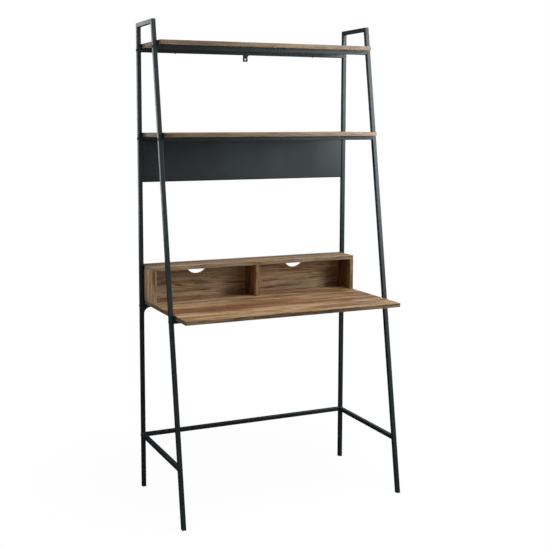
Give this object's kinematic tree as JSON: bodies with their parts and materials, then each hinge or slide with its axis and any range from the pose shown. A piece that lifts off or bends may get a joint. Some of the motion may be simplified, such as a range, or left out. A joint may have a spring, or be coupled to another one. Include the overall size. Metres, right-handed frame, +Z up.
{
  "type": "ladder desk",
  "caption": "Leaning-leg ladder desk: a steel side frame at each end carries a desk top with a low cubby hutch, a back panel and two shelves.",
  "frame": {"origin": "middle of the footprint on the floor: the centre of the bounding box's bottom", "axes": "+Z up, -Y towards the person who sits at the desk, +X to that person's right"},
  "size_m": [0.9196, 0.482, 1.829],
  "materials": {
    "powder_coat": "satin charcoal powder coat",
    "wood_laminate": "rustic brown wood-grain laminate, matt",
    "black_plastic": "moulded, matt",
    "black_steel": "black, satin",
    "zinc_steel": "zinc plated",
    "dowel_wood": "plain beech"
  },
  "bodies": {
    "root": {"back_panel": "powder_coat", "back_panel_screws": "black_steel", "cross_bar_bolts": "black_steel", "cross_bar_nuts": "zinc_steel", "desk_board": "wood_laminate", "desk_bolts": "black_steel", "desk_end_plates": "powder_coat", "desk_front_rail": "powder_coat", "desk_gusset_left": "powder_coat", "desk_gusset_right": "powder_coat", "desk_rail_nuts": "zinc_steel", "desk_rear_rail": "powder_coat", "desk_screws": "black_steel", "front_foot_plug_left": "black_plastic", "front_foot_plug_right": "black_plastic", "front_leg_sleeve_left": "powder_coat", "front_leg_sleeve_right": "powder_coat", "hutch_back": "wood_laminate", "hutch_back_dowels": "dowel_wood", "hutch_divider": "wood_laminate", "hutch_dowels": "dowel_wood", "hutch_screws": "black_steel", "hutch_side_left": "wood_laminate", "hutch_side_right": "wood_laminate", "hutch_top": "wood_laminate", "lower_front_leg_left": "powder_coat", "lower_front_leg_right": "powder_coat", "lower_rear_leg_left": "powder_coat", "lower_rear_leg_right": "powder_coat", "middle_shelf_board": "wood_laminate", "middle_shelf_bolts": "black_steel", "middle_shelf_end_plates": "powder_coat", "middle_shelf_front_rail": "powder_coat", "middle_shelf_rail_nuts": "zinc_steel", "middle_shelf_rear_rail": "powder_coat", "middle_shelf_screws": "black_steel", "rear_cross_bar": "powder_coat", "rear_foot_plug_left": "black_plastic", "rear_foot_plug_right": "black_plastic", "rear_leg_sleeve_left": "powder_coat", "rear_leg_sleeve_right": "powder_coat", "side_stretcher_left": "powder_coat", "side_stretcher_right": "powder_coat", "top_bar_left": "powder_coat", "top_bar_right": "powder_coat", "top_shelf_board": "wood_laminate", "top_shelf_bolts": "black_steel", "top_shelf_end_plates": "powder_coat", "top_shelf_front_rail": "powder_coat", "top_shelf_rail_nuts": "zinc_steel", "top_shelf_rear_rail": "powder_coat", "top_shelf_screws": "black_steel", "upper_front_leg_left": "powder_coat", "upper_front_leg_right": "powder_coat", "upper_rear_leg_left": "powder_coat", "upper_rear_leg_right": "powder_coat", "wall_strap_tab": "powder_coat"}
  },
  "joints": []
}
